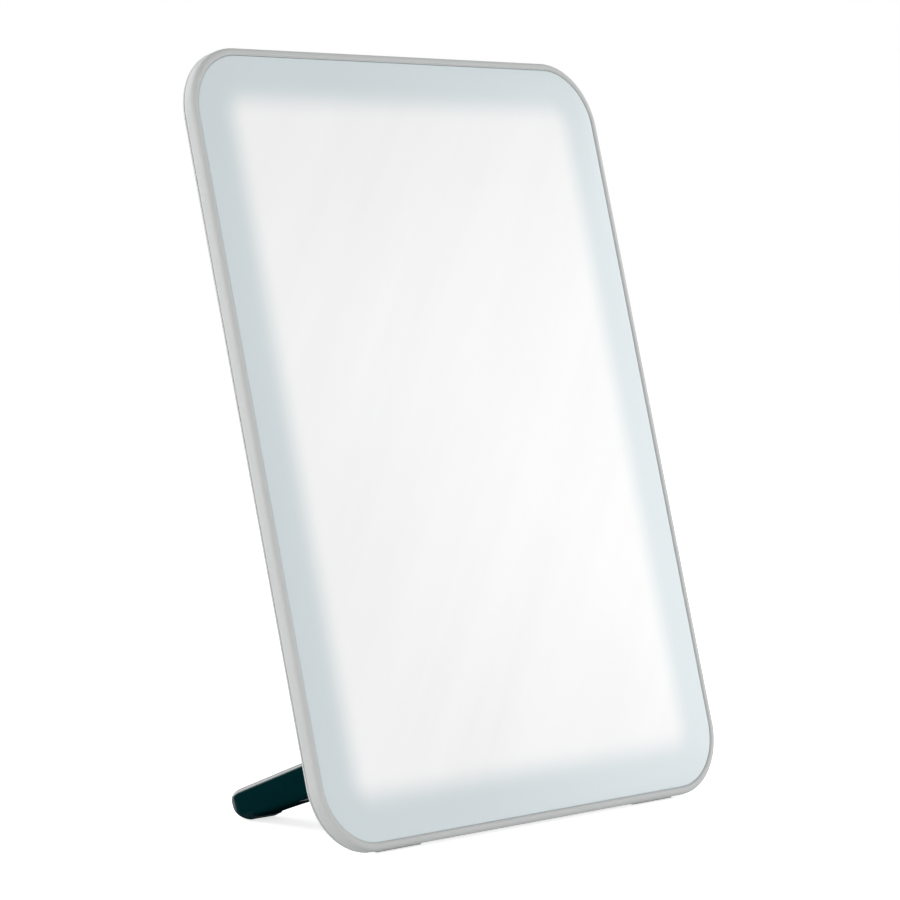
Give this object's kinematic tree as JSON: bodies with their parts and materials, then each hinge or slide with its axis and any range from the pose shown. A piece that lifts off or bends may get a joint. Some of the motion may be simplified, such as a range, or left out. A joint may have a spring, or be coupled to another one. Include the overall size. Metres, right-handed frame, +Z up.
{
  "type": "light therapy lamp",
  "caption": "Slim portrait light therapy lamp: an edge-lit opal panel in a grey frame that leans back on a wide dark fold-out leg, with a power button and DC inlet on the back.",
  "frame": {"origin": "on the table, under the middle of the outline of the lamp standing on its open leg", "axes": "+X across the panel, to the right as seen from the lit face; +Y from the lit face towards the back; +Z up"},
  "size_m": [0.212, 0.0916, 0.277],
  "materials": {
    "frame_grey": "satin",
    "opal_white": "satin opal",
    "white_sheet": "matte",
    "clear_acrylic": "clear",
    "tape_white": "matte",
    "tray_aluminium": "mill",
    "screw_steel": "plated",
    "strip_white": "solder mask",
    "led_amber": "resin",
    "lead_red": "matte",
    "cover_grey": "satin",
    "pad_rubber": "matte",
    "board_green": "solder mask",
    "component_black": "matte",
    "switch_black": "matte",
    "button_grey": "satin",
    "ring_chrome": "polished",
    "lens_green": "clear",
    "socket_black": "gloss",
    "pin_brass": "plated",
    "washer_brass": "plain",
    "bush_white": "acetal",
    "leg_teal": "satin",
    "plate_teal": "matte",
    "sole_rubber": "matte"
  },
  "bodies": {
    "panel": {"front_frame": "frame_grey", "diffuser": "opal_white", "diffuser_tape": "tape_white", "diffuser_film": "white_sheet", "light_guide": "clear_acrylic", "reflector_sheet": "white_sheet", "heat_tray": "tray_aluminium", "tray_screws": "screw_steel", "led_strip_left": "strip_white", "led_strip_right": "strip_white", "leds_left": "led_amber", "leds_right": "led_amber", "led_lead_left": "lead_red", "led_lead_right": "lead_red", "back_cover": "cover_grey", "cover_screws": "screw_steel", "panel_pads": "pad_rubber", "driver_cover": "cover_grey", "driver_cover_screws": "screw_steel", "driver_board": "board_green", "board_screws": "screw_steel", "board_components": "component_black", "tact_switch": "switch_black", "button_ring": "ring_chrome", "indicator_lens": "lens_green", "dc_socket": "socket_black", "socket_pin": "pin_brass", "hinge_bracket_left": "screw_steel", "hinge_bracket_right": "screw_steel", "bracket_screws": "screw_steel", "hinge_pin_left": "screw_steel", "hinge_pin_right": "screw_steel", "friction_washers": "washer_brass"},
    "leg": {"leg_shell": "leg_teal", "leg_bushes": "bush_white", "leg_plate": "plate_teal", "leg_plate_screws": "screw_steel", "foot_sole": "sole_rubber"},
    "button": {"power_button": "button_grey", "switch_plunger": "switch_black"}
  },
  "joints": [
    {"name": "leg_fold", "type": "hinge", "parent": "panel", "child": "leg", "pos_m": [0, -0.0207, 0.02847], "axis": [1, 0, 0], "range_deg": [0, 96.61]},
    {"name": "button_press", "type": "slide", "parent": "panel", "child": "button", "axis": [0, -0.9673, 0.2538], "range_m": [0, 0.0008], "stiffness_N_per_m": 1500}
  ]
}
